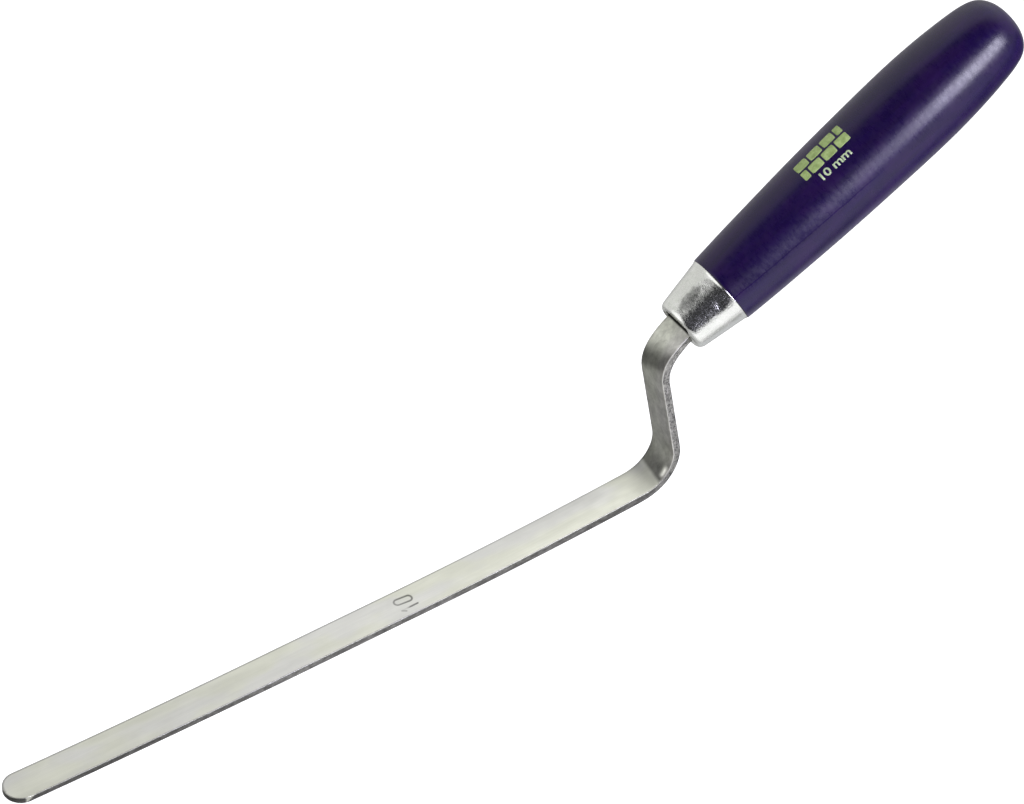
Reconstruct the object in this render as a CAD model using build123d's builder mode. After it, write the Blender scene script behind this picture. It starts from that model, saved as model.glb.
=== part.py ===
from build123d import *
import os
from math import atan2, cos, radians, sin, tan

# Pointing trowel with a narrow cranked blade.
# Frame: the origin is the centre of the flat land under the blade, +X runs from the
# blade's tip towards the handle, +Z is up from the blade's top face. Millimetres.
os.makedirs("parts", exist_ok=True)

# ---------------------------------------------------------------- driving dimensions
# steel strip, seen from the side
strip_width = 10.0          # width of the mortar joint that the trowel fills
land_length = 40.0          # flat stretch in the middle of the underside
tip_arc_length = 81.93      # gently bowed stretch from the land to the tip
tip_arc_turn = 2.17         # degrees
heel_arc_length = 80.57     # gently bowed stretch from the land to the heel
heel_arc_turn = 3.58
heel_radius = 11.03         # centre line of the first bend
heel_turn = 95.28
riser_length = 26.80        # straight part of the neck
neck_radius = 9.99          # centre line of the second bend
neck_turn = 50.24
throat_length = 8.88        # slack curve that brings the strip into line with the handle
handle_pitch = 28.17        # handle's axis above the horizontal

t_tip = 1.75                # strip thickness
t_land = 1.93
t_heel = 2.25
t_neck = 2.39
t_throat = 2.42
t_tang_end = 1.60

tang_length = 62.0          # hidden in the handle, counted from the end of the throat
tang_end_width = 4.0
taper_start = 0.4           # where the tang starts to narrow, after the throat

# ferrule, along the handle's axis from the crown of its closed front
crown_lead = 2.35           # the crown stands this far ahead of the throat's end
ferrule_length = 16.0
ferrule_wall = 0.80
front_dome_r = 6.3          # radius of the slightly crowned front
front_dome_rise = 0.50      # its rounded edge blends the crown into the cone
ferrule_r_front = 8.05      # cone's outside radius 1.5 behind the crown
ferrule_r_rear = 10.38      # cone's outside radius at the rear
slot_width = 11.0
slot_height = 4.3
slot_lift = 0.65            # the slot is cut high, so it gapes above the strip
fit_gap = 0.05              # between the wood's spigot and the ferrule's inside

# handle, radius against distance from the ferrule's crown
spigot_start = 2.75
shoulder_r = 10.66
barrel = (
    (25.0, 11.27),
    (36.3, 11.88),
    (47.8, 12.45),
    (60.9, 12.92),
    (72.4, 13.19),
    (84.0, 13.38),
    (93.6, 13.28),
    (103.4, 12.75),
    (111.6, 11.92),
    (117.0, 10.98),
    (120.4, 9.55),
    (122.6, 7.10),
    (123.8, 3.90),
)
handle_end = 124.1

# ---------------------------------------------------------------- side view of the strip
h_tip = -tip_arc_turn
h_heel = heel_arc_turn
h_riser = h_heel + heel_turn
h_neck = h_riser - neck_turn
throat_turn = h_neck - handle_pitch
throat_radius = throat_length / radians(throat_turn)


def heading(deg):
    return cos(radians(deg)), sin(radians(deg))


def ahead(p, deg, length):
    c, s = heading(deg)
    return p[0] + c * length, p[1] + s * length


def reach(radius, turn):
    # from a bend's corner to where its arc starts
    return radius * tan(radians(turn) / 2)


# corners of the centre line, before its bends are rounded
tip_reach = reach(tip_arc_length / radians(tip_arc_turn), tip_arc_turn)
heel_arc_reach = reach(heel_arc_length / radians(heel_arc_turn), heel_arc_turn)
q1 = (-land_length / 2 - tip_reach, t_land / 2)
q0 = ahead(q1, h_tip, -tip_reach)
q2 = (land_length / 2 + heel_arc_reach, t_land / 2)
q3 = ahead(q2, h_heel, heel_arc_reach + reach(heel_radius, heel_turn))
q4 = ahead(
    q3,
    h_riser,
    reach(heel_radius, heel_turn) + riser_length + reach(neck_radius, neck_turn),
)
q5 = ahead(
    q4, h_neck, reach(neck_radius, neck_turn) + reach(throat_radius, throat_turn)
)
throat_end = ahead(q5, handle_pitch, reach(throat_radius, throat_turn))
q6 = ahead(throat_end, handle_pitch, tang_length)

runs = (
    (ahead(q0, h_tip, -1.0), q1, t_tip, t_land),
    (q1, q2, t_land, t_land),
    (q2, q3, t_land, t_heel),
    (q3, q4, t_neck, t_neck),
    (q4, q5, t_neck, t_throat),
    (throat_end, q6, t_throat, t_tang_end),
)
turns = (tip_arc_turn, heel_arc_turn, heel_turn, -neck_turn, -throat_turn)
bend_radii = (
    tip_arc_length / radians(tip_arc_turn),
    heel_arc_length / radians(heel_arc_turn),
    heel_radius,
    neck_radius,
    throat_radius,
)
bend_t = (t_land, t_land, (t_heel + t_neck) / 2, t_neck, t_throat)


def side(sign):
    # one face of the strip: +1 is the top face, -1 the underside
    lines = []
    for a, b, ta, tb in runs:
        dx, dz = b[0] - a[0], b[1] - a[1]
        n = (dx * dx + dz * dz) ** 0.5
        nx, nz = -dz / n, dx / n
        pa = (a[0] + sign * nx * ta / 2, a[1] + sign * nz * ta / 2)
        pb = (b[0] + sign * nx * tb / 2, b[1] + sign * nz * tb / 2)
        lines.append((pa, pb))
    pts = [lines[0][0]]
    for (a, b), (c, d) in zip(lines, lines[1:]):
        rx, rz, sx, sz = b[0] - a[0], b[1] - a[1], d[0] - c[0], d[1] - c[1]
        k = ((c[0] - a[0]) * sz - (c[1] - a[1]) * sx) / (rx * sz - rz * sx)
        pts.append((a[0] + rx * k, a[1] + rz * k))
    pts.append(lines[-1][1])
    return pts


def rounded(sign):
    # the face's straight runs and, between them, its arcs as start, middle and end
    pts = side(sign)
    arcs = []
    for a, b, c, turn, radius, t in zip(
        pts, pts[1:], pts[2:], turns, bend_radii, bend_t
    ):
        la = ((b[0] - a[0]) ** 2 + (b[1] - a[1]) ** 2) ** 0.5
        lc = ((c[0] - b[0]) ** 2 + (c[1] - b[1]) ** 2) ** 0.5
        ux, uz = (b[0] - a[0]) / la, (b[1] - a[1]) / la
        vx, vz = (c[0] - b[0]) / lc, (c[1] - b[1]) / lc
        cross, dot = ux * vz - uz * vx, ux * vx + uz * vz
        half = atan2(abs(cross), dot) / 2
        if radius > 200:
            # the long bows keep their length, and their radius follows the taper
            back = reach(radius, turn) * 0.98
            radius = back / tan(half)
        else:
            inner = (turn > 0) == (sign > 0)
            radius = (radius - t / 2 if inner else radius + t / 2) * 0.985
            back = radius * tan(half)
        bx, bz = vx - ux, vz - uz
        n = (bx * bx + bz * bz) ** 0.5
        rise = radius / cos(half) - radius
        arcs.append(
            (
                (b[0] - ux * back, b[1] - uz * back),
                (b[0] + bx / n * rise, b[1] + bz / n * rise),
                (b[0] + vx * back, b[1] + vz * back),
            )
        )
    starts = [pts[0]] + [arc[2] for arc in arcs]
    ends = [arc[0] for arc in arcs] + [pts[-1]]
    return list(zip(starts, ends)), arcs


top_lines, top_arcs = rounded(1)
under_lines, under_arcs = rounded(-1)

# ---------------------------------------------------------------- handle's axis
ax_c, ax_s = heading(handle_pitch)
crown = ahead(throat_end, handle_pitch, -crown_lead)
axis_plane = Plane(
    origin=(crown[0], 0, crown[1]), x_dir=(ax_c, 0, ax_s), z_dir=(0, -1, 0)
)
axis_line = Axis((crown[0], 0, crown[1]), (ax_c, 0, ax_s))
front_plane = Plane(
    origin=(crown[0], 0, crown[1]), x_dir=(0, 1, 0), z_dir=(ax_c, 0, ax_s)
)

# ---------------------------------------------------------------- blade, neck and tang
tip_x = q0[0]
taper_x = ahead(throat_end, handle_pitch, taper_start)[0]
tang_end_x = q6[0] + 2.0

with BuildPart() as blade:
    # side view: both faces of the strip, drawn as tangent lines and arcs
    with BuildSketch(Plane.XZ):
        with BuildLine():
            for start, end in top_lines + under_lines:
                Line(start, end)
            for start, middle, end in top_arcs + under_arcs:
                ThreePointArc(start, middle, end)
            Line(top_lines[0][0], under_lines[0][0])
            Line(top_lines[-1][1], under_lines[-1][1])
        make_face()
    extrude(amount=strip_width, both=True)
    # plan view: half-round tip, parallel edges, tapered tang
    with BuildSketch(Plane.XY):
        with BuildLine():
            r = strip_width / 2
            ThreePointArc((tip_x + r, r), (tip_x, 0), (tip_x + r, -r))
            Polyline(
                (tip_x + r, -r),
                (taper_x, -r),
                (tang_end_x, -tang_end_width / 2),
                (tang_end_x, tang_end_width / 2),
                (taper_x, r),
                (tip_x + r, r),
            )
        make_face()
    extrude(amount=200, both=True, mode=Mode.INTERSECT)

# ---------------------------------------------------------------- ferrule
cone_slope = (ferrule_r_rear - ferrule_r_front) / (ferrule_length - 1.5)


def cone_r(u):
    return ferrule_r_front + cone_slope * (u - 1.5)


# rounded front edge: an arc tangent to the crown's rim and to the cone
crown_slope = atan2(front_dome_r, 2 * front_dome_rise)
cone_angle = atan2(cone_slope, 1)
d1 = (cos(crown_slope), sin(crown_slope))
d2 = (cos(cone_angle), sin(cone_angle))
edge_reach = (cone_r(front_dome_rise) - front_dome_r) / (d1[1] - cone_slope * d1[0])
edge_half = (crown_slope - cone_angle) / 2
edge_radius = edge_reach / tan(edge_half)
edge_corner = (front_dome_rise + d1[0] * edge_reach, front_dome_r + d1[1] * edge_reach)
edge_centre = (front_dome_rise + d1[1] * edge_radius, front_dome_r - d1[0] * edge_radius)


def edge_point(angle, depth):
    # a point on the rounded front edge, that far in from the outside
    rr = edge_radius - depth
    return edge_centre[0] + rr * cos(angle), edge_centre[1] + rr * sin(angle)


edge_from = crown_slope + radians(90)
edge_to = cone_angle + radians(90)
edge_mid = (edge_from + edge_to) / 2

with BuildPart() as ferrule:
    # drawn cup: crowned front, rounded front edge, flared wall, thin turned-out rim
    with BuildSketch(axis_plane):
        with BuildLine():
            ThreePointArc(
                (0, 0),
                (front_dome_rise * 0.25, front_dome_r / 2),
                edge_point(edge_from, 0),
            )
            ThreePointArc(
                edge_point(edge_from, 0), edge_point(edge_mid, 0), edge_point(edge_to, 0)
            )
            Polyline(
                edge_point(edge_to, 0),
                (ferrule_length - 0.7, cone_r(ferrule_length - 0.7)),
                (ferrule_length - 0.25, cone_r(ferrule_length) + 0.10),
                (ferrule_length, cone_r(ferrule_length) + 0.02),
                (ferrule_length, cone_r(ferrule_length) - ferrule_wall),
                edge_point(edge_to, ferrule_wall),
            )
            ThreePointArc(
                edge_point(edge_to, ferrule_wall),
                edge_point(edge_mid, ferrule_wall),
                edge_point(edge_from, ferrule_wall),
            )
            Polyline(edge_point(edge_from, ferrule_wall), (ferrule_wall, 0), (0, 0))
        make_face()
    revolve(axis=axis_line)
    # slot for the strip, through the front only
    with BuildSketch(front_plane):
        with Locations((0, slot_lift)):
            RectangleRounded(slot_width, slot_height, 0.6)
    extrude(amount=2.6, mode=Mode.SUBTRACT)

# ---------------------------------------------------------------- handle
spigot_r = cone_r(spigot_start) - ferrule_wall - fit_gap
seat_r = cone_r(ferrule_length) - ferrule_wall - fit_gap
with BuildPart() as handle:
    # turned wood: tapered spigot inside the ferrule, shoulder, swelling barrel, round butt
    with BuildSketch(axis_plane):
        with BuildLine():
            Polyline(
                (handle_end, 0),
                (spigot_start, 0),
                (spigot_start, spigot_r - 1.2),
                (spigot_start + 1.2, spigot_r),
                (ferrule_length, seat_r),
                (ferrule_length, shoulder_r - 0.3),
                (ferrule_length + 0.3, shoulder_r),
            )
            Spline(
                (ferrule_length + 0.3, shoulder_r),
                *barrel,
                (handle_end, 0),
                tangents=((1, 0.07), (0, -1)),
            )
        make_face()
    revolve(axis=axis_line)
    # the tang is driven home, so its hole has the tang's own shape
    add(blade.part, mode=Mode.SUBTRACT)

for piece, label in ((blade, "blade"), (ferrule, "ferrule"), (handle, "handle")):
    piece.part.label = label

export_step(blade.part, "parts/blade.step")
export_step(ferrule.part, "parts/ferrule.step")
export_step(handle.part, "parts/handle.step")

print("heel corner", q3, "throat end", throat_end, "crown", crown, "tang end", q6)
print("tip x", tip_x, "throat radius", throat_radius)
for piece in (blade, ferrule, handle):
    box = piece.part.bounding_box()
    print(piece.part.label, piece.part.volume, box.min, box.max)
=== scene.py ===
import math

import bmesh
import bpy
import numpy as np
from mathutils import Matrix, Vector, noise


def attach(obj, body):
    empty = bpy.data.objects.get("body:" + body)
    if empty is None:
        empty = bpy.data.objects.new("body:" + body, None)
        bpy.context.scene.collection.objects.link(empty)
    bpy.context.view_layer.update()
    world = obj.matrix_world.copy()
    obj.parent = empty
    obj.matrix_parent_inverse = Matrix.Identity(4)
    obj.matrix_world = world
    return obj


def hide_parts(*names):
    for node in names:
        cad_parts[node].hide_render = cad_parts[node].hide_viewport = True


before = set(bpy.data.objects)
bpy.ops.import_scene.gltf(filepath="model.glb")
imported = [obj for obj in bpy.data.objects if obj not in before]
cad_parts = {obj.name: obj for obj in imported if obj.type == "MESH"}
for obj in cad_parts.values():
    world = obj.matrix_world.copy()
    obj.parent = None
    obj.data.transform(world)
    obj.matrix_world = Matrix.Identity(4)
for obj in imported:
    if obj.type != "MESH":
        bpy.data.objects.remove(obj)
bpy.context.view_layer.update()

MM = 0.001
rad = math.radians

# ------------------------------------------------------------------ driving dimensions
# the same numbers as the solids, in millimetres
HALF = 5.0                      # half of the blade's width, and its tip's radius
RUNS = (                        # centre line of the strip: length, turn in degrees
    (81.93, 2.17),
    (40.0, 0.0),
    (80.57, 3.58),
    (11.03 * rad(95.28), 95.28),
    (26.80, 0.0),
    (9.99 * rad(50.24), -50.24),
    (8.88, -20.45),
    (62.0, 0.0),
)
START = (-101.910, 2.516)
PITCH = 28.17
T_AT = (0.0, 81.93, 121.93, 202.50, 220.84, 247.64, 265.28, 327.28)
T_OF = (1.75, 1.93, 1.93, 2.25, 2.39, 2.39, 2.42, 1.60)
CROWN = Vector((113.826, 0.0, 55.188))
HD = Vector((math.cos(rad(PITCH)), 0.0, math.sin(rad(PITCH))))
HY = Vector((0.0, 1.0, 0.0))
HN = Vector((-HD.z, 0.0, HD.x))
BACK = Vector((-0.412351, -0.598898, 0.686504))     # from the object to the camera
RIGHT = Vector((0.823651, -0.567096, 0.0))
UP = BACK.cross(RIGHT)


def lerp(a, b, t):
    return a + (b - a) * t


def smooth(x, lo, hi):
    t = min(1.0, max(0.0, (x - lo) / (hi - lo)))
    return t * t * (3 - 2 * t)


def wave(x, y, z, seed=0.0):
    # smooth noise from about -1 to 1
    return noise.noise(Vector((x + seed * 17.3, y - seed * 9.1, z + seed * 5.7)))


# ------------------------------------------------------------------ mesh helpers
def piece(name, verts, faces):
    mesh = bpy.data.meshes.new(name)
    mesh.from_pydata([(v[0] * MM, v[1] * MM, v[2] * MM) for v in verts], [], faces)
    mesh.update()
    # every piece is a closed shell, with its faces turned outwards
    bm = bmesh.new()
    bm.from_mesh(mesh)
    bmesh.ops.recalc_face_normals(bm, faces=bm.faces[:])
    if bm.calc_volume(signed=True) < 0:
        bmesh.ops.reverse_faces(bm, faces=bm.faces[:])
    bm.to_mesh(mesh)
    bm.free()
    ob = bpy.data.objects.new(name, mesh)
    bpy.context.scene.collection.objects.link(ob)
    for p in mesh.polygons:
        p.use_smooth = True
    return ob


def grid(loops, wrap_u=True, wrap_v=False):
    # faces between neighbouring loops of equal length; loops are lists of vertex numbers
    faces = []
    rows = list(zip(loops, loops[1:])) + ([(loops[-1], loops[0])] if wrap_v else [])
    for a, b in rows:
        n = len(a)
        for i in range(n if wrap_u else n - 1):
            j = (i + 1) % n
            f = [a[i], a[j], b[j], b[i]]
            g = []
            for k in f:
                if k not in g:
                    g.append(k)
            if len(g) > 2:
                faces.append(tuple(g))
    return faces


def vector_attribute(ob, name, values):
    a = ob.data.attributes.new(name, "FLOAT_VECTOR", "POINT")
    a.data.foreach_set("vector", np.asarray(values, np.float32).ravel())


# ------------------------------------------------------------------ centre line
def line_at(s):
    # point and heading of the strip's centre line, s from the tip
    x, z = START
    h = rad(-2.17)
    for length, turn in RUNS:
        part = min(s, length)
        k = rad(turn) / length
        if abs(k) < 1e-9:
            x += math.cos(h) * part
            z += math.sin(h) * part
        else:
            x += (math.sin(h + k * part) - math.sin(h)) / k
            z += (math.cos(h) - math.cos(h + k * part)) / k
            h += k * part
        s -= part
        if s <= 0:
            break
    return x, z, h


MARKS = [0.0]
for length, turn in RUNS:
    MARKS.append(MARKS[-1] + length)
S_HEEL0, S_HEEL1, S_NECK0, S_NECK1, S_THROAT, S_END = MARKS[3:9]


def half_width(s):
    return lerp(5.0, 2.107, max(0.0, (s - S_THROAT - 0.4) / (S_END - S_THROAT - 0.4)))


# the width of the blade in millimetres, struck into its top face across the strip
def struck(s, y):
    # depth of the strike, 0 to 1
    # the nought: an upright loop, its top towards the tip
    ls = (s - 125.72) * 0.9945 - (y - 0.76) * 0.1045
    ly = (s - 125.72) * 0.1045 + (y - 0.76) * 0.9945
    d = abs(math.hypot(max(abs(ls) - 1.58, 0.0), ly) - 1.06)
    a = max(0.0, 1 - (d / 0.35) ** 2) * (0.66 + 0.34 * smooth(s + y * 0.6, 122.5, 129.0))

    def seg(p, q):
        vx, vy = q[0] - p[0], q[1] - p[1]
        t = max(0.0, min(1.0, ((s - p[0]) * vx + (y - p[1]) * vy) / (vx * vx + vy * vy)))
        return math.hypot(s - p[0] - t * vx, y - p[1] - t * vy)

    d = seg((123.25, -2.42), (128.50, -2.36))
    b = max(0.0, 1 - (d / 0.33) ** 2) * (0.18 + 0.82 * smooth(s, 124.8, 126.6))
    d = seg((123.35, -2.46), (124.35, -3.16))
    c = max(0.0, 1 - (d / 0.30) ** 2) * 0.55
    return max(a, b, c)


# ------------------------------------------------------------------ blade
def build_blade():
    top_q = [5.0 - 0.12 * i for i in range(31)] + [1.2, 1.0, 0.8, 0.64, 0.5, 0.38]
    r1, r2 = 0.09, 0.10
    section = []                 # (inset, kind, place along it)
    for q in top_q:
        section.append((q, "top", 0.0))
    for k in range(5):
        section.append((None, "upper", k / 4 * rad(90)))
    for k in range(1, 10):
        section.append((0.0, "side", k / 10))
    for k in range(4):
        section.append((None, "lower", k / 3 * rad(90)))
    for q in (0.35, 0.7, 1.1, 1.6, 2.6, 3.8, 5.0):
        section.append((q, "under", 0.0))

    def bend(s):
        heel = smooth(s, S_HEEL0 - 2, S_HEEL0 + 3) * (1 - smooth(s, S_HEEL1 - 3, S_HEEL1 + 2))
        neck = smooth(s, S_NECK0 - 2, S_NECK0 + 2) * (1 - smooth(s, S_NECK1 - 2, S_NECK1 + 2))
        return heel - neck

    def point(s_mid, out, sign, item, half):
        # s_mid, out: outward direction on the face: (along the strip, across it)
        q, kind, a = item
        h = float(np.interp(s_mid, T_AT, T_OF)) / 2
        roll = lambda q: 0.012 * max(0.0, 1 - q / 0.5) ** 2
        # the shears left a burr under the edges, heaviest towards the heel
        burr = float(np.interp(s_mid, (0, 60, 85, 105, 122, 150, 200, 212), (0.02, 0.03, 0.15, 0.17, 0.08, 0.24, 0.34, 0.0)))
        if kind == "top":
            v = h - roll(q)
        elif kind == "upper":
            q, v = r1 - r1 * math.sin(a), h - roll(r1) - r1 + r1 * math.cos(a)
        elif kind == "side":
            v = lerp(h - roll(r1) - r1, -h - burr + r2, a)
        elif kind == "lower":
            q, v = r2 - r2 * math.cos(a), -h - burr + r2 - r2 * math.sin(a)
        else:
            v = -h - burr * max(0.0, 1 - q / 1.5) ** 2
        if half < 5.0:
            q = q * half / 5.0
        r = half - q
        s = s_mid + out[0] * r
        y = out[1] * r
        inside = s_mid > S_THROAT + 1.0
        # sheared edges: ragged, and rougher on the neck
        rough = lerp(0.035, 0.075, smooth(s, 196, 225) * (1 - smooth(s, 262, 268)))
        if kind in ("side", "upper", "lower"):
            n = wave(s * 0.9, y * 0.3, v * 1.1, 1) * 0.6 + wave(s * 2.6, y, v * 2.0, 2) * 0.4
            tear = wave(s * 0.35, v * 1.6, sign * 3.0, 3)
            side_on = 1.0 if kind == "side" else (0.35 if kind == "upper" else 0.6)
            move = rough * n * side_on - 0.05 * smooth(tear, 0.1, 0.6) * side_on
            # the bends squeeze the metal out on their inner side
            move += 0.10 * bend(s) * v / h
            if inside:
                move = -0.02
            s += out[0] * move
            y += out[1] * move
        else:
            move = 0.10 * bend(s) * v / h * (1 - q / 5.0 * 5.0 / half if half else 0)
            y += out[1] * move * max(0.0, 1 - q)
        # faces: slightly uneven from forging and grinding
        lift = 0.012 * wave(s * 0.05, y * 0.12, 3.0, 4) + 0.006 * wave(s * 0.16, y * 0.3, 8.0, 5)
        lift *= 1 - smooth(s, S_THROAT - 2, S_THROAT + 2)
        groove = 0.0
        if kind == "top" and 121.5 < s < 130.0:
            groove = struck(s, y)
            v -= 0.11 * groove
        v += lift if v > 0 else max(lift, 0.0)
        return s, y, v, kind, q, groove

    stations = [5.0]
    s = 5.0
    while s < S_END - 1e-6:
        if 122.2 <= s < 129.6:
            ds = 0.12
        elif S_HEEL0 - 3 < s < S_THROAT + 3:
            ds = 0.36
        elif s > S_THROAT:
            ds = 2.0
        else:
            ds = 0.6
        s = min(S_END, s + ds)
        stations.append(s)

    verts, data, look = [], [], []

    def add(s, y, v, kind, q, groove, sign):
        x, z, h = line_at(max(0.0, s)) if s >= 0 else (START[0] + s, START[1], rad(-2.17))
        verts.append((x - math.sin(h) * v, y, z + math.cos(h) * v))
        data.append((s * MM, y * MM, v * MM))
        # base value of the bare metal, without its fine texture
        ground = lerp(0.61, 0.745, smooth(s, 10, 160))
        ground *= 1 - 0.17 * (y / 5.0) * smooth(s, 115, 190)
        ground *= 1 + 0.05 * wave(s * 0.03, y * 0.25, 2.0, 6)
        # unground steel on the neck, darkest in the first bend and darker in a band across the second
        fold = s + 0.35 * y
        neck = lerp(0.42, 0.45, smooth(s, S_HEEL1, S_NECK0))
        bent = s - 0.15 * y + 0.5
        neck *= 1 - 0.66 * (1 - smooth(bent, S_HEEL0 + 9.5, S_HEEL1 - 2.0))
        band = smooth(fold, S_NECK0 + 0.8, S_NECK0 + 4.2) * (1 - smooth(fold, S_NECK0 + 5.6, S_NECK1 + 2.2))
        neck = lerp(neck, 0.66, smooth(s, S_NECK0 + 5, S_NECK1 + 3)) * (1 - 0.68 * band)
        dull = lerp(1.0, 0.70, smooth(bent, S_HEEL0 - 5, S_HEEL0 + 5))
        dull *= 1 + 0.09 * wave(s * 0.22, y * 0.45, 4.0, 16) * smooth(s, 165, 195)
        value = lerp(ground * dull, neck, smooth(bent, S_HEEL0 + 6.0, S_HEEL0 + 7.6))
        # painted highlight: a glint at the near edge of the first bend
        bend_glint = math.exp(-(((s - S_HEEL0 - 9.0) / 1.8) ** 4) - ((y + 3.9) / 0.75) ** 2)
        value = lerp(value, 0.92, bend_glint)
        # painted shade in the gap under the ferrule's lip: the strip goes nearly black just before it enters
        gap = smooth(s, S_THROAT - 1.50, S_THROAT - 1.32)
        value *= 1 - 0.95 * gap
        near, far = sign < 0, sign > 0
        # painted highlight: a bright line along the near edge of the face, where the edge catches the light
        edge_glint = float(np.interp(s, (60, 110, 130, 150, 200, 210), (0.0, 0.08, 0.30, 0.75, 0.95, 0.30)))
        side = 0.0
        worn = float(np.interp(
            s, (0, 9, 22, 60, 80, 134, 165, 183, 205, 214, 226), (0.25, 0.34, 0.37, 0.49, 0.66, 0.71, 0.66, 0.56, 0.58, 1.00, 1.32)
        ))
        # the sides and the roundings keep the painted shade under the ferrule's lip
        if kind == "side":
            side, value = 1.0, worn * (1 - 0.9 * gap)
        elif kind == "lower":
            side, value = 1.0, 0.40 * worn * (1 - 0.9 * gap)
        elif kind == "upper":
            if near:
                # the near upper rounding carries the painted highlight, held at 0.80 through the first bend
                side = lerp(0.45, 0.0, smooth(s, S_HEEL0 + 1, S_HEEL0 + 9))
                value = lerp(lerp(value, 0.95, edge_glint), 0.80, smooth(s, S_HEEL0, S_HEEL1)) * (1 - 0.9 * gap)
            else:
                side = lerp(0.70, 0.30, smooth(s, 130, 175))
        # the painted highlight also spreads onto the top face within 0.7 mm of the near edge
        if kind == "top" and near and q < 0.7 and s < S_HEEL0 + 8:
            value = lerp(value, 0.98, edge_glint * (1 - q / 0.7))
        if kind == "top" and far and q < 0.6:
            side = lerp(0.55, 0.12, smooth(s, 130, 175)) * (1 - q / 0.6)
            value *= 0.88
        value *= 1 - 0.64 * min(1.0, groove * 1.3)
        if near and kind in ("upper", "side", "lower") and 3.4 < s < 7.6:
            down = (0.9 - v) / 1.8
            nick = smooth(s, 3.4, 3.9) * smooth((6.5 - s) / 2.7 - down, -0.05, 0.15)
            side, value = side * (1 - nick), lerp(value, 0.58, nick)
        scale = smooth(bent, S_HEEL0 + 5, S_HEEL0 + 9)
        look.append((side, value, scale))
        return len(verts) - 1

    rows = []
    # near edge, from the tang to the tip
    for s in reversed(stations):
        rows.append([add(*point(s, (0.0, -1.0), -1, it, half_width(s)), -1) for it in section])
    # round the tip
    n = 56
    for k in range(1, n):
        a = k / n * math.pi
        out = (-math.sin(a), -math.cos(a))
        sign = -1 if a < math.pi / 2 else 1
        rows.append([add(*point(5.0, out, sign, it, 5.0), sign) for it in section])
    # far edge, from the tip to the tang
    for s in stations:
        rows.append([add(*point(s, (0.0, 1.0), 1, it, half_width(s)), 1) for it in section])

    # weld the two halves along the middle, and the fan at the tip's centre
    m = len(section)
    count = len(stations)
    weld = {}
    for i in range(count):
        a, b = rows[i], rows[len(rows) - 1 - i]
        weld[b[0]], weld[b[m - 1]] = a[0], a[m - 1]
    for row in rows[count:count + n - 1]:
        weld[row[0]], weld[row[m - 1]] = rows[count - 1][0], rows[count - 1][m - 1]
    rows = [[weld.get(v, v) for v in row] for row in rows]
    faces = grid(rows, wrap_u=False)
    # end of the tang
    first, last = rows[0], rows[-1]
    faces.append(tuple(first + list(reversed(last))[1:-1]))
    used = sorted({v for f in faces for v in f})
    number = {v: i for i, v in enumerate(used)}
    ob = piece("blade_strip", [verts[v] for v in used], [tuple(number[v] for v in f) for f in faces])
    vector_attribute(ob, "strip", [data[v] for v in used])
    vector_attribute(ob, "look", [look[v] for v in used])
    return ob


# ------------------------------------------------------------------ things round the handle's axis
def around(u, r, angle):
    # angle is measured from across the tool towards the top
    p = CROWN + HD * u + (HY * math.cos(angle) + HN * math.sin(angle)) * r
    return p


# angle that faces the camera, and the sense in which the printed marks are measured
FACING = math.atan2(
    BACK.x * HN.x + BACK.z * HN.z, BACK.y
)
ANGLES = 192
SLOPE = (10.38 - 8.05) / 14.5


def cone(u):
    return 8.05 + SLOPE * (u - 1.5)


def rectangle(half_a, half_b, corner, lift):
    # outline in step with ANGLES, corners on whole numbers
    quarter = ANGLES // 4
    k1 = max(4, round(quarter * half_b / (half_a + half_b) * 0.9))
    kc = 5
    k2 = quarter - k1 - kc
    pts = []
    for i in range(quarter):
        if i < k1:
            pts.append((half_a, (half_b - corner) * i / k1))
        elif i < k1 + kc:
            t = rad(90) * (i - k1) / kc
            pts.append((half_a - corner + corner * math.cos(t), half_b - corner + corner * math.sin(t)))
        else:
            pts.append(((half_a - corner) * (1 - (i - k1 - kc) / k2), half_b))
    full = list(pts)
    full += [(-a, b) for a, b in [(0.0, half_b)] + pts[:0:-1]]
    full += [(-a, -b) for a, b in pts]
    full += [(a, -b) for a, b in [(0.0, half_b)] + pts[:0:-1]]
    return [(a, b + lift) for a, b in full]


def circle(r):
    return [
        (r * math.cos(2 * math.pi * i / ANGLES), r * math.sin(2 * math.pi * i / ANGLES))
        for i in range(ANGLES)
    ]


def mix_ring(a, b, t):
    return [(lerp(p[0], q[0], t), lerp(p[1], q[1], t)) for p, q in zip(a, b)]


# rounded front edge of the ferrule, tangent to its crown and its cone
_cs = math.atan2(6.3, 1.0)
_ca = math.atan2(SLOPE, 1.0)
_d1 = (math.cos(_cs), math.sin(_cs))
_reach = (cone(0.5) - 6.3) / (_d1[1] - SLOPE * _d1[0])
_edge_r = _reach / math.tan((_cs - _ca) / 2)
_edge_c = (0.5 + _d1[1] * _edge_r, 6.3 - _d1[0] * _edge_r)


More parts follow.
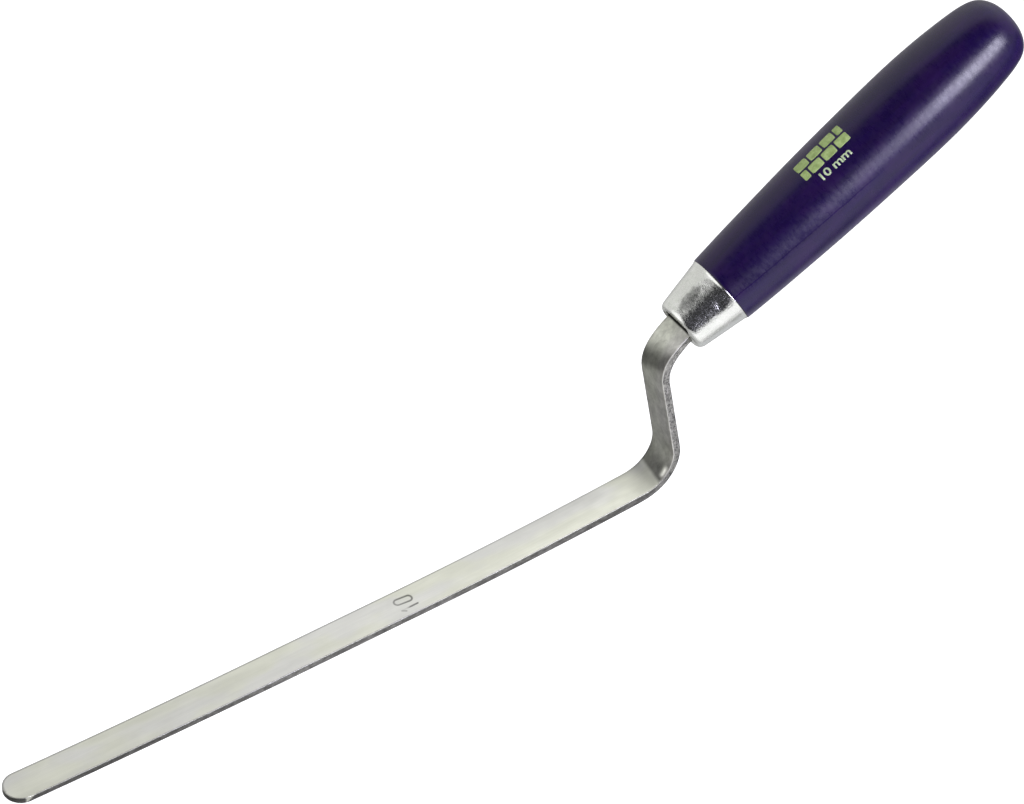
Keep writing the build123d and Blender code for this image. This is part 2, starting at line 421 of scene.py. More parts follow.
def build_ferrule():
    rings = []           # (list of (y, n), list of u)

    def crown_u(y, n):
        return 0.5 * (math.hypot(y, n) / 6.3) ** 2

    # outside: slot's edge, crown, rounded edge, cone, rim
    slot = rectangle(5.5, 2.15, 0.6, 0.65)
    wide = {g: rectangle(5.5 + g, 2.15 + g, 0.6 + g, 0.65) for g in (0.06, 0.14, 0.26, 0.42)}
    inner_edge = circle(6.3 - 0.12)
    outer_edge = circle(6.3)
    wall = 0.80
    rings.append((mix_ring(slot, slot, 0), [crown_u(*p) + wall for p in slot]))
    rings.append((slot, [crown_u(*p) + 0.5 for p in slot]))
    rings.append((slot, [crown_u(*p) + 0.26 for p in slot]))
    for g, du in ((0.06, 0.12), (0.14, 0.05), (0.26, 0.012), (0.42, 0.0)):
        ring = wide[g]
        rings.append((ring, [crown_u(*p) + du for p in ring]))
    for t in (0.25, 0.5, 0.75):
        ring = mix_ring(wide[0.42], outer_edge, t)
        rings.append((ring, [crown_u(*p) for p in ring]))
    rings.append((outer_edge, [0.5] * ANGLES))
    a0, a1 = _cs + rad(90), _ca + rad(90)
    for k in range(1, 11):
        a = lerp(a0, a1, k / 10)
        u, r = _edge_c[0] + _edge_r * math.cos(a), _edge_c[1] + _edge_r * math.sin(a)
        rings.append((circle(r), [u] * ANGLES))
    first = rings[-1][1][0]
    steps = 34
    for k in range(1, steps + 1):
        u = lerp(first, 15.2, k / steps)
        rings.append((circle(cone(u)), [u] * ANGLES))
    for u, r in (
        (15.38, cone(15.38) + 0.02), (15.5, cone(15.5) + 0.06), (15.62, cone(15.62) + 0.095),
        (15.75, cone(15.75) + 0.13), (15.88, cone(15.88) + 0.125), (15.96, cone(16) + 0.06),
        (16.0, cone(16) - 0.04), (16.0, cone(16) - 0.4), (16.0, cone(16) - wall),
    ):
        rings.append((circle(r), [u] * ANGLES))
    outside = len(rings)
    # inside: wall, rounded edge, flat front
    u_in = _edge_c[0] + (_edge_r - wall) * math.cos(a1)
    for k in range(1, 12):
        u = lerp(16.0, u_in, k / 11)
        rings.append((circle(cone(u) - wall), [u] * ANGLES))
    for k in range(1, 5):
        a = lerp(a1, a0, k / 4)
        rr = _edge_r - wall
        rings.append((circle(_edge_c[1] + rr * math.sin(a)), [_edge_c[0] + rr * math.cos(a)] * ANGLES))
    ring_in = circle(_edge_c[1] + (_edge_r - wall) * math.sin(a0))
    for t in (0.33, 0.66):
        ring = mix_ring(ring_in, slot, t)
        rings.append((ring, [crown_u(*p) + wall for p in ring]))

    def pushed(y, n, u):
        # the strip drove the front in above itself, and left a lip there
        hit = (1 - smooth(abs(y), 5.45, 6.1)) * smooth(n, 0.0, 1.0)
        low = 1.30 - 0.10 * (y / 5.5) ** 2
        return lerp(u, max(u, low) if u < low + 0.35 else u, hit)

    verts, data, look = [], [], []
    dent_at = FACING + rad(16.0)
    for k, (ring, us) in enumerate(rings):
        for i, (y, n) in enumerate(ring):
            u = us[i]
            r = math.hypot(y, n)
            ang = math.atan2(n, y)
            if u < 3.0:
                depth = 0.0 if k > 3 and k < outside else u - crown_u(y, n)
                if k < 3 or k >= outside:
                    depth = wall if k == 0 or k >= outside else depth
                    u = pushed(y, n, u - depth) + depth
                else:
                    u = pushed(y, n, u)
            if k < outside and us[i] > 0.55:
                # drawn sheet: slightly out of round, with a small dent
                ease = smooth(u, 0.55, 2.5) * (1 - 0.6 * smooth(u, 14.8, 15.6))
                r2 = r + ease * (
                    0.030 * wave(math.cos(ang) * 1.1, math.sin(ang) * 1.1, u * 0.14, 11)
                    + 0.013 * wave(y * 0.28, n * 0.28, u * 0.30, 12)
                    + 0.0035 * wave(y * 0.9, n * 0.9, u * 0.8, 13)
                )
                da = math.atan2(math.sin(ang - dent_at), math.cos(ang - dent_at)) * r
                d2 = (da / 1.15) ** 2 + ((u - 12.1) / 1.15) ** 2
                r2 -= 0.20 * math.exp(-d2)
                y, n = y * r2 / r, n * r2 / r
            verts.append(CROWN + HD * u + HY * y + HN * n)
            data.append((u * MM, y * MM, n * MM))
            # a dull smudge, and thin streaks that lead out of it
            th = math.degrees(math.atan2(math.sin(ang - FACING), math.cos(ang - FACING)))
            e = 0.8 * wave(u * 0.5, th * 0.06, 1.0, 14) + 0.5 * wave(u * 1.3, th * 0.15, 2.0, 15)
            blot = smooth(1.25 - math.hypot((u - 7.4) / 4.2, (th + 26.0 + 0.9 * (u - 7.4)) / 13.0) + 0.35 * e, 0.1, 0.5)
            look.append((blot, 0.0, 0.0))
    loops = [list(range(k * ANGLES, (k + 1) * ANGLES)) for k in range(len(rings))]
    faces = grid(loops, wrap_u=True, wrap_v=True)
    ob = piece("ferrule_cup", verts, faces)
    vector_attribute(ob, "turned", data)
    vector_attribute(ob, "look", look)
    return ob


# ------------------------------------------------------------------ handle
BARREL = (
    (16.3, 10.66), (25.0, 11.27), (36.3, 11.88), (47.8, 12.45), (60.9, 12.92), (72.4, 13.19),
    (84.0, 13.38), (93.6, 13.28), (103.4, 12.75), (111.6, 11.92), (117.0, 10.98), (120.4, 9.55),
    (122.6, 7.10), (123.8, 3.90), (124.1, 0.0),
)


def clamped_spline(pts, start, end, step):
    # smooth curve through the points, with its end directions, as (u, r)
    p = np.array(pts, float)
    chord = np.hypot(*np.diff(p, axis=0).T)
    t = np.concatenate([[0.0], np.cumsum(chord)])
    n = len(p)
    a = np.zeros((n, n))
    rhs = np.zeros((n, 2))
    a[0, 0] = a[-1, -1] = 1.0
    d0, d1 = np.array(start, float), np.array(end, float)
    rhs[0], rhs[-1] = d0 / np.linalg.norm(d0), d1 / np.linalg.norm(d1)
    for i in range(1, n - 1):
        h0, h1 = t[i] - t[i - 1], t[i + 1] - t[i]
        a[i, i - 1], a[i, i], a[i, i + 1] = h1, 2 * (h0 + h1), h0
        rhs[i] = 3 * (h1 * (p[i] - p[i - 1]) / h0 + h0 * (p[i + 1] - p[i]) / h1)
    m = np.linalg.solve(a, rhs)
    out = []
    total = t[-1]
    count = int(total / step)
    for k in range(count + 1):
        x = total * k / count
        i = min(n - 2, int(np.searchsorted(t, x, side="right")) - 1)
        h = t[i + 1] - t[i]
        w = (x - t[i]) / h
        q = (
            (2 * w**3 - 3 * w**2 + 1) * p[i] + (w**3 - 2 * w**2 + w) * h * m[i]
            + (-2 * w**3 + 3 * w**2) * p[i + 1] + (w**3 - w**2) * h * m[i + 1]
        )
        out.append((float(q[0]), max(0.0, float(q[1]))))
    return out


PROFILE = clamped_spline(BARREL, (1.0, 0.07), (0.0, -1.0), 0.55)
PROFILE[-1] = (124.1, 0.0)
_pu = np.array([p[0] for p in PROFILE])
_pr = np.array([p[1] for p in PROFILE])


def barrel_relief(u, ang):
    # lathe rings, and a lacquer film that isn't quite even
    ease = smooth(u, 16.3, 18.5) * (1 - 0.7 * smooth(u, 116, 122))
    c, s = math.cos(ang), math.sin(ang)
    ring = 0.006 * math.sin(u * 3.1 + 1.2 * wave(u * 0.2, 0, 0, 21)) * (0.5 + 0.5 * wave(u * 0.11, 4, 0, 22))
    return ease * (
        ring + 0.050 * wave(u * 0.035, c * 0.8, s * 0.8, 23) + 0.010 * wave(u * 0.11, c * 2.4, s * 2.4, 24)
    )


def barrel_point(u, ang, lift=0.0):
    r = float(np.interp(u, _pu, _pr)) + barrel_relief(u, ang) + lift
    return CROWN + HD * u + (HY * math.cos(ang) + HN * math.sin(ang)) * r


def build_handle():
    gap = 0.05
    spigot = cone(2.75) - 0.80 - gap
    seat = cone(16.0) - 0.80 - gap
    verts, data, look = [], [], []

    def ring(pts, us, inside=0.0):
        base = len(verts)
        for (y, n), u in zip(pts, us):
            verts.append(CROWN + HD * u + HY * y + HN * n)
            data.append((u * MM, y * MM, n * MM))
            look.append((inside, 0.0, 0.0))
        return list(range(base, base + ANGLES))

    loops = []
    # the tang's hole, from its bottom to the front
    tang_from = 2.35          # the throat's end, along this axis
    depth = 62.0
    for k in range(0, 13):
        u = lerp(tang_from + depth + 0.15, 2.75, k / 12)
        s = S_THROAT + (u - tang_from)
        hw = half_width(min(s, S_END)) + 0.06
        ht = float(np.interp(min(s, S_END), T_AT, T_OF)) / 2 + 0.06
        loops.append(ring(rectangle(hw, ht, 0.05, 0.0), [u] * ANGLES, 1.0))
    bottom = loops[0]
    mouth = rectangle(half_width(S_THROAT + 0.4) + 0.06, 1.27, 0.05, 0.0)
    front = circle(spigot - 1.2)
    for t in (0.5, 1.0):
        loops.append(ring(mix_ring(mouth, front, t), [2.75] * ANGLES, 1.0))
    for u, r in ((2.75 + 0.6, spigot - 0.6), (3.95, spigot), (8.0, lerp(spigot, seat, 0.31)),
                 (12.0, lerp(spigot, seat, 0.68)), (16.0, seat), (16.0, 10.2), (16.0, 10.36)):
        loops.append(ring(circle(r), [u] * ANGLES, 1.0))
    for a in (30, 60):
        loops.append(ring(circle(10.36 + 0.3 * math.sin(rad(a))), [16.3 - 0.3 * math.cos(rad(a))] * ANGLES))
    for u, r in PROFILE[:-1]:
        base = len(verts)
        for i in range(ANGLES):
            ang = 2 * math.pi * i / ANGLES
            rr = r + (barrel_relief(u, ang) if r > 2 else 0.0)
            verts.append(CROWN + HD * u + (HY * math.cos(ang) + HN * math.sin(ang)) * rr)
            data.append((u * MM, math.cos(ang) * rr * MM, math.sin(ang) * rr * MM))
            look.append((0.0, 0.0, 0.0))
        loops.append(list(range(base, base + ANGLES)))
    faces = grid(loops, wrap_u=True)
    # closing fans at the hole's bottom and at the butt
    for loop, u, back in ((bottom, tang_from + depth + 0.15, False), (loops[-1], 124.1, True)):
        verts.append(CROWN + HD * u)
        data.append((u * MM, 0.0, 0.0))
        look.append((0.0 if back else 1.0, 0.0, 0.0))
        c = len(verts) - 1
        for i in range(ANGLES):
            a, b = loop[i], loop[(i + 1) % ANGLES]
            faces.append((a, b, c) if back else (b, a, c))
    ob = piece("handle_wood", verts, faces)
    vector_attribute(ob, "turned", data)
    vector_attribute(ob, "look", look)
    return ob


# ------------------------------------------------------------------ printed marks
def shell(name, polygons, wrapped):
    # thin closed films of ink from flat outlines: polygons of (u, angle in degrees)
    verts, faces = [], []
    for outline, holes_grid in polygons:
        base = len(verts)
        rows, cols = holes_grid
        for lift in (0.022, 0.004):
            for i in range(rows + 1):
                for j in range(cols + 1):
                    u, th = outline(i / rows, j / cols)
                    verts.append(barrel_point(u, FACING + rad(th), lift))
        n = (rows + 1) * (cols + 1)
        at = lambda i, j, k=0: base + k * n + i * (cols + 1) + j
        for i in range(rows):
            for j in range(cols):
                faces.append((at(i, j), at(i, j + 1), at(i + 1, j + 1), at(i + 1, j)))
                faces.append((at(i, j, 1), at(i + 1, j, 1), at(i + 1, j + 1, 1), at(i, j + 1, 1)))
        for i in range(rows):
            faces.append((at(i, 0), at(i + 1, 0), at(i + 1, 0, 1), at(i, 0, 1)))
            faces.append((at(i, cols), at(i, cols, 1), at(i + 1, cols, 1), at(i + 1, cols)))
        for j in range(cols):
            faces.append((at(0, j), at(0, j, 1), at(0, j + 1, 1), at(0, j + 1)))
            faces.append((at(rows, j), at(rows, j + 1), at(rows, j + 1, 1), at(rows, j, 1)))
    return piece(name, verts, faces)


def brick(u0, u1, th0, th1, seed):
    # a printed brick: an oblong with soft corners and slightly uneven sides
    def outline(a, b):
        x, y = 2 * a - 1, 2 * b - 1
        w, h = (u1 - u0) / 2, (th1 - th0) / 2
        # squircle mapping keeps a grid and rounds the corners
        k = 0.10
        sx = x * math.sqrt(max(0.0, 1 - k * y * y * y * y))
        sy = y * math.sqrt(max(0.0, 1 - 1.6 * k * x**6))
        j = 0.03 * wave(x * 2, y * 2, seed, 31)
        return (u0 + u1) / 2 + w * sx + j, (th0 + th1) / 2 + h * sy + j * 4
    return outline


def build_courses():
    shapes = []
    u0, u1 = 51.9, 68.7
    joint = 0.62
    long = (u1 - u0 - 3 * joint) / 3.5
    rows = ((-54.9, -41.1, (1.0, 1.0, 1.0, 0.5)), (-38.3, -25.5, (0.5, 1.0, 1.0, 1.0)))
    for row, (t0, t1, parts) in enumerate(rows):
        u = u0
        for k, part in enumerate(parts):
            w = long * part
            shapes.append((brick(u, u + w, t0, t1, row * 7 + k), (14, 12)))
            u += w + joint
    return shell("course_print", shapes, True)


def build_size_print():
    # plain numerals and unit, from the program's own built-in face
    curve = bpy.data.curves.new("size_text", "FONT")
    curve.body = "10 mm"
    curve.size = 1.0
    curve.resolution_u = 3
    curve.offset = 0.022
    curve.space_character = 0.94
    holder = bpy.data.objects.new("size_text", curve)
    bpy.context.scene.collection.objects.link(holder)
    bpy.context.view_layer.update()
    graph = bpy.context.evaluated_depsgraph_get()
    flat = bpy.data.meshes.new_from_object(holder.evaluated_get(graph))
    bpy.data.objects.remove(holder)
    bpy.data.curves.remove(curve)
    bm = bmesh.new()
    bm.from_mesh(flat)
    bpy.data.meshes.remove(flat)
    bmesh.ops.remove_doubles(bm, verts=bm.verts[:], dist=1e-5)
    xs = [v.co.x for v in bm.verts]
    ys = [v.co.y for v in bm.verts]
    x0, x1, y0, y1 = min(xs), max(xs), min(ys), max(ys)
    # cut along the length and round it, so that the film follows the barrel
    for k in range(1, 24):
        x = lerp(x0, x1, k / 24)
        bmesh.ops.bisect_plane(bm, geom=bm.verts[:] + bm.edges[:] + bm.faces[:], plane_co=(x, 0, 0), plane_no=(1, 0, 0))
    for k in range(1, 5):
        y = lerp(y0, y1, k / 5)
        bmesh.ops.bisect_plane(bm, geom=bm.verts[:] + bm.edges[:] + bm.faces[:], plane_co=(0, y, 0), plane_no=(0, 1, 0))
    bmesh.ops.remove_doubles(bm, verts=bm.verts[:], dist=1e-5)
    bmesh.ops.recalc_face_normals(bm, faces=bm.faces[:])
    ua, ub = 55.35, 66.05
    ta, tb = -10.3, -21.1         # base line, top

    def place(co, lift):
        u = lerp(ua, ub, (co.x - x0) / (x1 - x0))
        th = lerp(ta, tb, (co.y - y0) / (y1 - y0))
        return barrel_point(u, FACING + rad(th), lift) * MM

    flat_co = {v: v.co.copy() for v in bm.verts}
    top_faces = [f for f in bm.faces]
    low = {v: bm.verts.new(place(co, 0.004)) for v, co in flat_co.items()}
    rim = [e for e in bm.edges if len(e.link_faces) == 1]
    for f in top_faces:
        bm.faces.new([low[v] for v in reversed(f.verts)])
    for e in rim:
        a, b = e.verts
        f = e.link_faces[0]
        vs = list(f.verts)
        if vs[(vs.index(a) + 1) % len(vs)] is not b:
            a, b = b, a
        bm.faces.new((b, a, low[a], low[b]))
    for v, co in flat_co.items():
        v.co = place(co, 0.022)
    bmesh.ops.recalc_face_normals(bm, faces=bm.faces[:])
    mesh = bpy.data.meshes.new("size_print")
    bm.to_mesh(mesh)
    bm.free()
    ob = bpy.data.objects.new("size_print", mesh)
    bpy.context.scene.collection.objects.link(ob)
    return ob


# ------------------------------------------------------------------ materials
class Nodes:
    def __init__(self, name):
        self.mat = bpy.data.materials.new(name)
        self.mat.use_nodes = True
        self.tree = self.mat.node_tree
        self.tree.nodes.clear()
        self.out = self.tree.nodes.new("ShaderNodeOutputMaterial")
        self.shader = self.tree.nodes.new("ShaderNodeBsdfPrincipled")
        self.tree.links.new(self.shader.outputs[0], self.out.inputs[0])

    def link(self, a, b):
        self.tree.links.new(a, b)

    def attribute(self, name):
        n = self.tree.nodes.new("ShaderNodeAttribute")
        n.attribute_name = name
        return n.outputs["Vector"]

    def split(self, v):
        n = self.tree.nodes.new("ShaderNodeSeparateXYZ")
        self.link(v, n.inputs[0])
        return n.outputs[0], n.outputs[1], n.outputs[2]

    def scaled(self, v, xyz, shift=(0, 0, 0)):
        n = self.tree.nodes.new("ShaderNodeMapping")
        self.link(v, n.inputs["Vector"])
        n.inputs["Scale"].default_value = xyz
        n.inputs["Location"].default_value = shift
        return n.outputs[0]

    def noise(self, v, scale=1.0, detail=3.0, rough=0.5, distortion=0.0):
        n = self.tree.nodes.new("ShaderNodeTexNoise")
        self.link(v, n.inputs["Vector"])
        n.inputs["Scale"].default_value = scale
        n.inputs["Detail"].default_value = detail
        n.inputs["Roughness"].default_value = rough
        n.inputs["Distortion"].default_value = distortion
        return n.outputs["Fac"]

    def math(self, op, a, b=None, c=None, clamp=False):
        n = self.tree.nodes.new("ShaderNodeMath")
        n.operation = op
        n.use_clamp = clamp
        for k, v in enumerate((a, b, c)):
            if v is None:
                continue
            if isinstance(v, (int, float)):
                n.inputs[k].default_value = v
            else:
                self.link(v, n.inputs[k])
        return n.outputs[0]

    def ranged(self, v, a, b, c, d, smoothed=False):
        n = self.tree.nodes.new("ShaderNodeMapRange")
        if smoothed:
            n.interpolation_type = "SMOOTHSTEP"
        self.link(v, n.inputs["Value"])
        for k, x in zip(("From Min", "From Max", "To Min", "To Max"), (a, b, c, d)):
            n.inputs[k].default_value = x
        return n.outputs["Result"]

    def mix(self, fac, a, b):
        n = self.tree.nodes.new("ShaderNodeMix")
        n.data_type = "RGBA"
        if isinstance(fac, (int, float)):
            n.inputs[0].default_value = fac
        else:
            self.link(fac, n.inputs[0])
        for k, v in ((6, a), (7, b)):
            if isinstance(v, tuple):
                n.inputs[k].default_value = v + (1.0,) if len(v) == 3 else v
            else:
                self.link(v, n.inputs[k])
        return n.outputs[2]

    def times(self, colour, value):
        # a colour made brighter or darker by a value
        n = self.tree.nodes.new("ShaderNodeVectorMath")
        n.operation = "SCALE"
        if isinstance(colour, tuple):
            n.inputs[0].default_value = colour
        else:
            self.link(colour, n.inputs[0])
        self.link(value, n.inputs["Scale"])
        return n.outputs[0]

    def bump(self, height, strength, distance, normal=None):
        n = self.tree.nodes.new("ShaderNodeBump")
        n.inputs["Strength"].default_value = strength
        n.inputs["Distance"].default_value = distance
        self.link(height, n.inputs["Height"])
        if normal is not None:
            self.link(normal, n.inputs["Normal"])
        return n.outputs[0]

    def set(self, **sockets):
        for name, v in sockets.items():
            s = self.shader.inputs[name.replace("_", " ")]
            if isinstance(v, (int, float, tuple)):
                s.default_value = v
            else:
                self.link(v, s)


def steel():
    m = Nodes("strip_steel")
    co = m.attribute("strip")
    side, value, scale = m.split(m.attribute("look"))
    # grinding lines run along the strip; blotches of handling and light rust bloom
    lines = m.noise(m.scaled(co, (28, 2600, 900)), detail=3, rough=0.6)
    wide = m.noise(m.scaled(co, (20, 520, 200), (3, 1, 0)), detail=2, rough=0.5)
    blotch = m.noise(m.scaled(co, (110, 260, 200), (5, 2, 9)), detail=3, rough=0.55, distortion=0.4)
    cloud = m.noise(m.scaled(co, (38, 90, 80), (1, 7, 2)), detail=2, rough=0.5)
    pits = m.noise(m.scaled(co, (900, 900, 1500), (2, 2, 2)), detail=4, rough=0.7)
    tears = m.noise(m.scaled(co, (420, 300, 1100), (8, 3, 1)), detail=3, rough=0.6)
    tone = m.math("MULTIPLY", m.ranged(lines, 0.3, 0.7, 0.965, 1.03), m.ranged(wide, 0.3, 0.7, 0.97, 1.025))
    tone = m.math("MULTIPLY", tone, m.ranged(blotch, 0.3, 0.7, 0.955, 1.035))
    tint = m.mix(m.ranged(cloud, 0.42, 0.58, 0, 1, True), (0.985, 0.985, 0.955), (0.985, 0.995, 0.885))
    face = m.times(tint, m.math("MULTIPLY", value, tone))
    # unground scale on the neck: mottled, a little warm
    mottle = m.noise(m.scaled(co, (330, 420, 400), (4, 4, 4)), detail=4, rough=0.65)
    scaled = m.times(
        m.mix(m.ranged(cloud, 0.4, 0.6, 0, 1, True), (0.985, 1.0, 0.90), (1.0, 0.985, 0.95)),
        m.math("MULTIPLY", value, m.ranged(mottle, 0.3, 0.7, 0.72, 1.25)),
    )
    face = m.mix(scale, face, scaled)
    torn = m.math("MULTIPLY", m.ranged(pits, 0.3, 0.7, 0.6, 1.4), m.ranged(tears, 0.35, 0.65, 0.68, 1.35))
    speck = m.noise(m.scaled(co, (1500, 700, 2300), (5, 5, 5)), detail=2, rough=0.6)
    speck = m.math("MULTIPLY", m.ranged(speck, 0.52, 0.60, 0, 0.62, True), scale)
    torn = m.math("MULTIPLY", torn, m.math("SUBTRACT", 1.0, speck))
    torn = m.math("MULTIPLY", torn, value)
    edge = m.times(m.mix(m.ranged(blotch, 0.4, 0.6, 0, 1), (0.210, 0.210, 0.184), (0.238, 0.236, 0.214)), torn)
    m.set(Base_Color=m.mix(side, face, edge))
    m.set(Metallic=m.ranged(side, 0.0, 1.0, 1.0, 0.55))
    rough = m.math("ADD", m.ranged(lines, 0.3, 0.7, 0.33, 0.42), m.math("MULTIPLY", side, 0.22))
    rough = m.math("ADD", rough, m.math("MULTIPLY", scale, 0.08))
    m.set(Roughness=rough)
    n1 = m.bump(lines, 0.35, 0.00003)
    height = m.math("MULTIPLY", m.math("ADD", pits, m.math("MULTIPLY", tears, 1.5)), side)
    n2 = m.bump(height, 0.7, 0.00012, n1)
    height = m.math("MULTIPLY", mottle, scale)
    m.set(Normal=m.bump(height, 0.35, 0.00008, n2))
    return m.mat


def plated():
    m = Nodes("plated_steel")
    co = m.attribute("turned")
    blot, _, _ = m.split(m.attribute("look"))
    grain = m.noise(m.scaled(co, (2300, 2300, 2300)), detail=3, rough=0.65)
    peel = m.noise(m.scaled(co, (900, 900, 900), (3, 1, 2)), detail=2, rough=0.5)
    haze = m.noise(m.scaled(co, (260, 320, 320), (1, 5, 2)), detail=4, rough=0.65, distortion=0.6)
    drawn = m.noise(m.scaled(co, (120, 1400, 1400), (1, 5, 2)), detail=2, rough=0.6)
    spangle = m.math("MULTIPLY", m.ranged(grain, 0.35, 0.65, 0.91, 1.04), m.ranged(haze, 0.3, 0.7, 0.90, 1.04))
    dull = m.math("SUBTRACT", 1.0, m.math("MULTIPLY", blot, m.ranged(haze, 0.35, 0.6, 0.72, 0.45)))
    tint = m.mix(m.ranged(peel, 0.4, 0.6, 0, 1), (0.90, 0.915, 0.885), (0.935, 0.935, 0.925))
    m.set(Base_Color=m.times(tint, m.math("MULTIPLY", spangle, dull)), Metallic=1.0)
    rough = m.math("ADD", m.ranged(haze, 0.3, 0.7, 0.10, 0.19), m.ranged(grain, 0.35, 0.65, -0.03, 0.13))
    m.set(Roughness=m.math("ADD", rough, m.math("MULTIPLY", blot, 0.10)))
    n1 = m.bump(grain, 0.80, 0.00005)
    n2 = m.bump(peel, 0.55, 0.00008, n1)
    m.set(Normal=m.bump(drawn, 0.12, 0.00003, n2))
    return m.mat


def lacquer():
    m = Nodes("lacquered_wood")
    co = m.attribute("turned")
    inside, _, _ = m.split(m.attribute("look"))
    pores = m.noise(m.scaled(co, (90, 900, 900)), detail=3, rough=0.6)
    grain = m.noise(m.scaled(co, (26, 240, 240), (2, 0, 4)), detail=3, rough=0.55, distortion=0.6)
    mottle = m.noise(m.scaled(co, (120, 160, 160), (2, 7, 4)), detail=3, rough=0.6)
    film = m.noise(m.scaled(co, (1000, 430, 430), (1, 1, 1)), detail=2, rough=0.55)
    dark, red = (0.0080, 0.0019, 0.040), (0.0132, 0.0028, 0.046)
    base = m.mix(m.ranged(mottle, 0.38, 0.66, 0, 1, True), dark, red)
    base = m.times(base, m.ranged(grain, 0.3, 0.7, 0.82, 1.22))
    base = m.times(base, m.ranged(pores, 0.3, 0.7, 0.9, 1.1))
    # the tang's hole and the spigot get a dark brown, kept dark as painted shade for the slit above the strip
    m.set(Base_Color=m.mix(inside, base, (0.020, 0.012, 0.010)))
    m.set(Roughness=m.math("ADD", m.ranged(film, 0.3, 0.7, 0.24, 0.34), m.ranged(mottle, 0.3, 0.7, -0.02, 0.03)))
    m.set(IOR=1.5)
    # a seam of grain under the lacquer, along the right of the handle's front half
    u, y, n = m.split(co)
    a = FACING + rad(27.0)
    across = m.math("SUBTRACT", m.math("MULTIPLY", n, math.cos(a)), m.math("MULTIPLY", y, math.sin(a)))
    across = m.math("SUBTRACT", across, m.math("MULTIPLY", m.math("SUBTRACT", u, 0.040), 0.030))
    across = m.math("ADD", across, m.ranged(mottle, 0.3, 0.7, -0.00012, 0.00012))
    toward = m.math("ADD", m.math("MULTIPLY", y, math.cos(a)), m.math("MULTIPLY", n, math.sin(a)))
    seam = m.ranged(m.math("ABSOLUTE", across), 0.00006, 0.00028, 1, 0, True)
    seam = m.math("MULTIPLY", seam, m.ranged(u, 0.058, 0.074, 1, 0, True))
    seam = m.math("MULTIPLY", seam, m.ranged(toward, 0.0, 0.001, 0, 1, True))
    m.set(Specular_IOR_Level=m.ranged(seam, 0, 1, 0.42, 0.10))
    n1 = m.bump(pores, 0.22, 0.00004)
    n2 = m.bump(film, 0.32, 0.00003, n1)
    m.set(Normal=m.bump(m.math("SUBTRACT", 1.0, seam), 0.5, 0.00004, n2))
    return m.mat


def ink(name, low, high):
    m = Nodes(name)
    geo = m.tree.nodes.new("ShaderNodeTexCoord")
    co = geo.outputs["Object"]
    worn = m.noise(m.scaled(co, (700, 700, 700)), detail=3, rough=0.6)
    fine = m.noise(m.scaled(co, (2600, 2600, 2600), (1, 2, 3)), detail=2, rough=0.5)
    tone = m.math("MULTIPLY", m.ranged(worn, 0.3, 0.7, 0.85, 1.1), m.ranged(fine, 0.3, 0.7, 0.94, 1.05))
    m.set(Base_Color=m.times(m.mix(m.ranged(worn, 0.35, 0.65, 0, 1), low, high), tone))
    m.set(Roughness=m.ranged(fine, 0.3, 0.7, 0.38, 0.5))
    m.set(Normal=m.bump(fine, 0.2, 0.00002))
    return m.mat


# ------------------------------------------------------------------ pieces
blade = build_blade()
blade.data.materials.append(steel())
ferrule = build_ferrule()
ferrule.data.materials.append(plated())
handle = build_handle()
handle.data.materials.append(lacquer())
courses = build_courses()
courses.data.materials.append(ink("ink_green", (0.30, 0.42, 0.13), (0.40, 0.52, 0.20)))
size_print = build_size_print()
size_print.data.materials.append(ink("ink_pale", (0.42, 0.55, 0.30), (0.55, 0.66, 0.42)))

for ob, node, slot in (
    (blade, "blade", "strip_steel"),
    (ferrule, "ferrule", "plated_steel"),
    (handle, "handle", "lacquered_wood"),
):
    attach(ob, "root")
    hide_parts(node)
for ob in (courses, size_print):
    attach(ob, "root")

# ------------------------------------------------------------------ floor
FLOOR_Z = -0.30
half = 4.0
fm = bpy.data.meshes.new("floor")
fm.from_pydata([(-half, -half, FLOOR_Z), (half, -half, FLOOR_Z), (half, half, FLOOR_Z), (-half, half, FLOOR_Z)], [], [(0, 1, 2, 3)])
floor = bpy.data.objects.new("floor", fm)
bpy.context.scene.collection.objects.link(floor)
pale = bpy.data.materials.new("floor_pale")
pale.use_nodes = True
pb = pale.node_tree.nodes["Principled BSDF"]
pb.inputs["Base Color"].default_value = (0.55, 0.55, 0.55, 1)
pb.inputs["Emission Color"].default_value = (1, 1, 1, 1)
pb.inputs["Emission Strength"].default_value = 0.86
pb.inputs["Roughness"].default_value = 0.9
pb.inputs["Specular IOR Level"].default_value = 0.0
fm.materials.append(pale)
floor.visible_glossy = False

# ------------------------------------------------------------------ studio light
world = bpy.data.worlds.new("studio")
bpy.context.scene.world = world
world.use_nodes = True
wt = world.node_tree
wt.nodes.clear()
w_out = wt.nodes.new("ShaderNodeOutputWorld")
w_bg = wt.nodes.new("ShaderNodeBackground")
wt.links.new(w_bg.outputs[0], w_out.inputs[0])
w_co = wt.nodes.new("ShaderNodeTexCoord")
w_norm = wt.nodes.new("ShaderNodeVectorMath")
w_norm.operation = "NORMALIZE"
wt.links.new(w_co.outputs["Generated"], w_norm.inputs[0])


def w_lobe(direction, wide, narrow):
    # 0 outside the wide angle, 1 inside the narrow one
    d = Vector(direction).normalized()
    dot = wt.nodes.new("ShaderNodeVectorMath")
    dot.operation = "DOT_PRODUCT"
    wt.links.new(w_norm.outputs[0], dot.inputs[0])
    dot.inputs[1].default_value = d
    rng = wt.nodes.new("ShaderNodeMapRange")
    rng.interpolation_type = "SMOOTHSTEP"
    wt.links.new(dot.outputs["Value"], rng.inputs["Value"])
    rng.inputs["From Min"].default_value = math.cos(rad(wide))
    rng.inputs["From Max"].default_value = math.cos(rad(narrow))
    return rng.outputs["Result"]


def w_mix(fac, a, b):
    n = wt.nodes.new("ShaderNodeMix")
    n.data_type = "RGBA"
    wt.links.new(fac, n.inputs[0])
    for k, v in ((6, a), (7, b)):
        if isinstance(v, tuple):
            n.inputs[k].default_value = v + (1.0,)
        else:
            wt.links.new(v, n.inputs[k])
    return n.outputs[2]


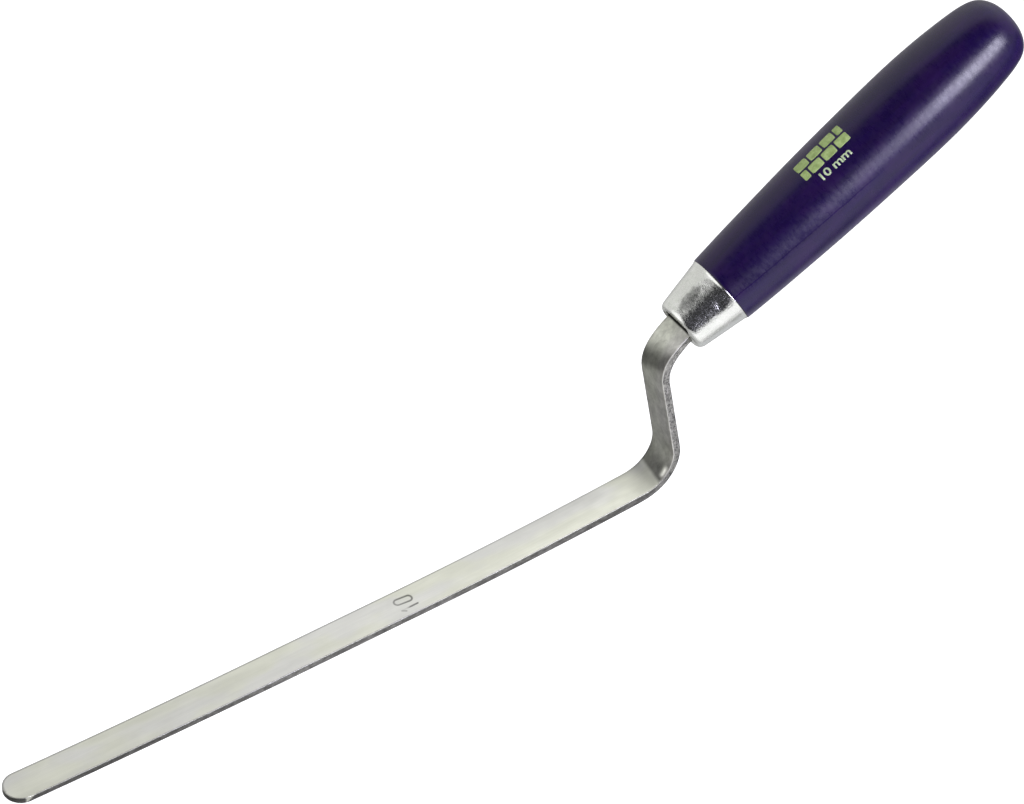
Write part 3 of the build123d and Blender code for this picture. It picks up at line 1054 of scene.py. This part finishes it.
# a dark room with pale cards: behind, low in front and to the left
sky = w_lobe((0.0, 0.0, 1.0), 94, 84)
colour = w_mix(sky, (0.48, 0.48, 0.475), (0.54, 0.54, 0.535))
colour = w_mix(w_lobe((-0.40, 0.90, 0.15), 52, 30), colour, (0.68, 0.685, 0.66))
colour = w_mix(w_lobe((0.45, 0.55, 0.70), 50, 20), colour, (1.03, 1.03, 1.01))
colour = w_mix(w_lobe((0.80, -0.25, -0.50), 40, 20), colour, (0.10, 0.10, 0.10))
colour = w_mix(w_lobe((0.30, -0.05, -0.95), 26, 12), colour, (0.60, 0.61, 0.62))
colour = w_mix(w_lobe((-0.10, -0.89, -0.45), 44, 16), colour, (1.12, 1.12, 1.12))
colour = w_mix(w_lobe((-0.42, -0.60, 0.68), 62, 54), colour, (0.03, 0.03, 0.032))
colour = w_mix(w_lobe((-0.93, 0.12, 0.33), 36, 18), colour, (1.20, 1.20, 1.18))
wt.links.new(colour, w_bg.inputs["Color"])
w_bg.inputs["Strength"].default_value = 1.0


def area(name, at, towards, size_x, size_y, watts, long_axis, colour=(1, 1, 1)):
    data = bpy.data.lights.new(name, "AREA")
    data.shape = "RECTANGLE"
    data.size, data.size_y = size_x, size_y
    data.energy = watts
    data.color = colour
    ob = bpy.data.objects.new(name, data)
    bpy.context.scene.collection.objects.link(ob)
    z = (Vector(at) - Vector(towards)).normalized()
    y = (Vector(long_axis) - z * Vector(long_axis).dot(z)).normalized()
    x = y.cross(z)
    m = Matrix((x, y, z)).transposed().to_4x4()
    m.translation = Vector(at)
    ob.matrix_world = m
    return ob


mid = Vector((0.170, 0.0, 0.085))
soft = Vector((0.205, -0.877, 0.435)).normalized()
area("softbox", mid + soft * 1.2, mid, 0.55, 0.62, 16.5, HD, (0.95, 0.93, 1.13))

# ------------------------------------------------------------------ camera
cam_data = bpy.data.cameras.new("camera")
cam_data.sensor_width = 36.0
cam_data.lens = 3.7389 * 1500 / 1024 * 36
cam_data.clip_start, cam_data.clip_end = 0.05, 50
cam = bpy.data.objects.new("camera", cam_data)
bpy.context.scene.collection.objects.link(cam)
target = Vector((60.973, 2.582, 54.520)) * MM
m = Matrix((RIGHT, UP, BACK)).transposed().to_4x4()
m.translation = target + BACK * 1.5
cam.matrix_world = m
bpy.context.scene.camera = cam
bpy.context.scene.view_settings.view_transform = "Standard"
bpy.context.scene.view_settings.look = "None"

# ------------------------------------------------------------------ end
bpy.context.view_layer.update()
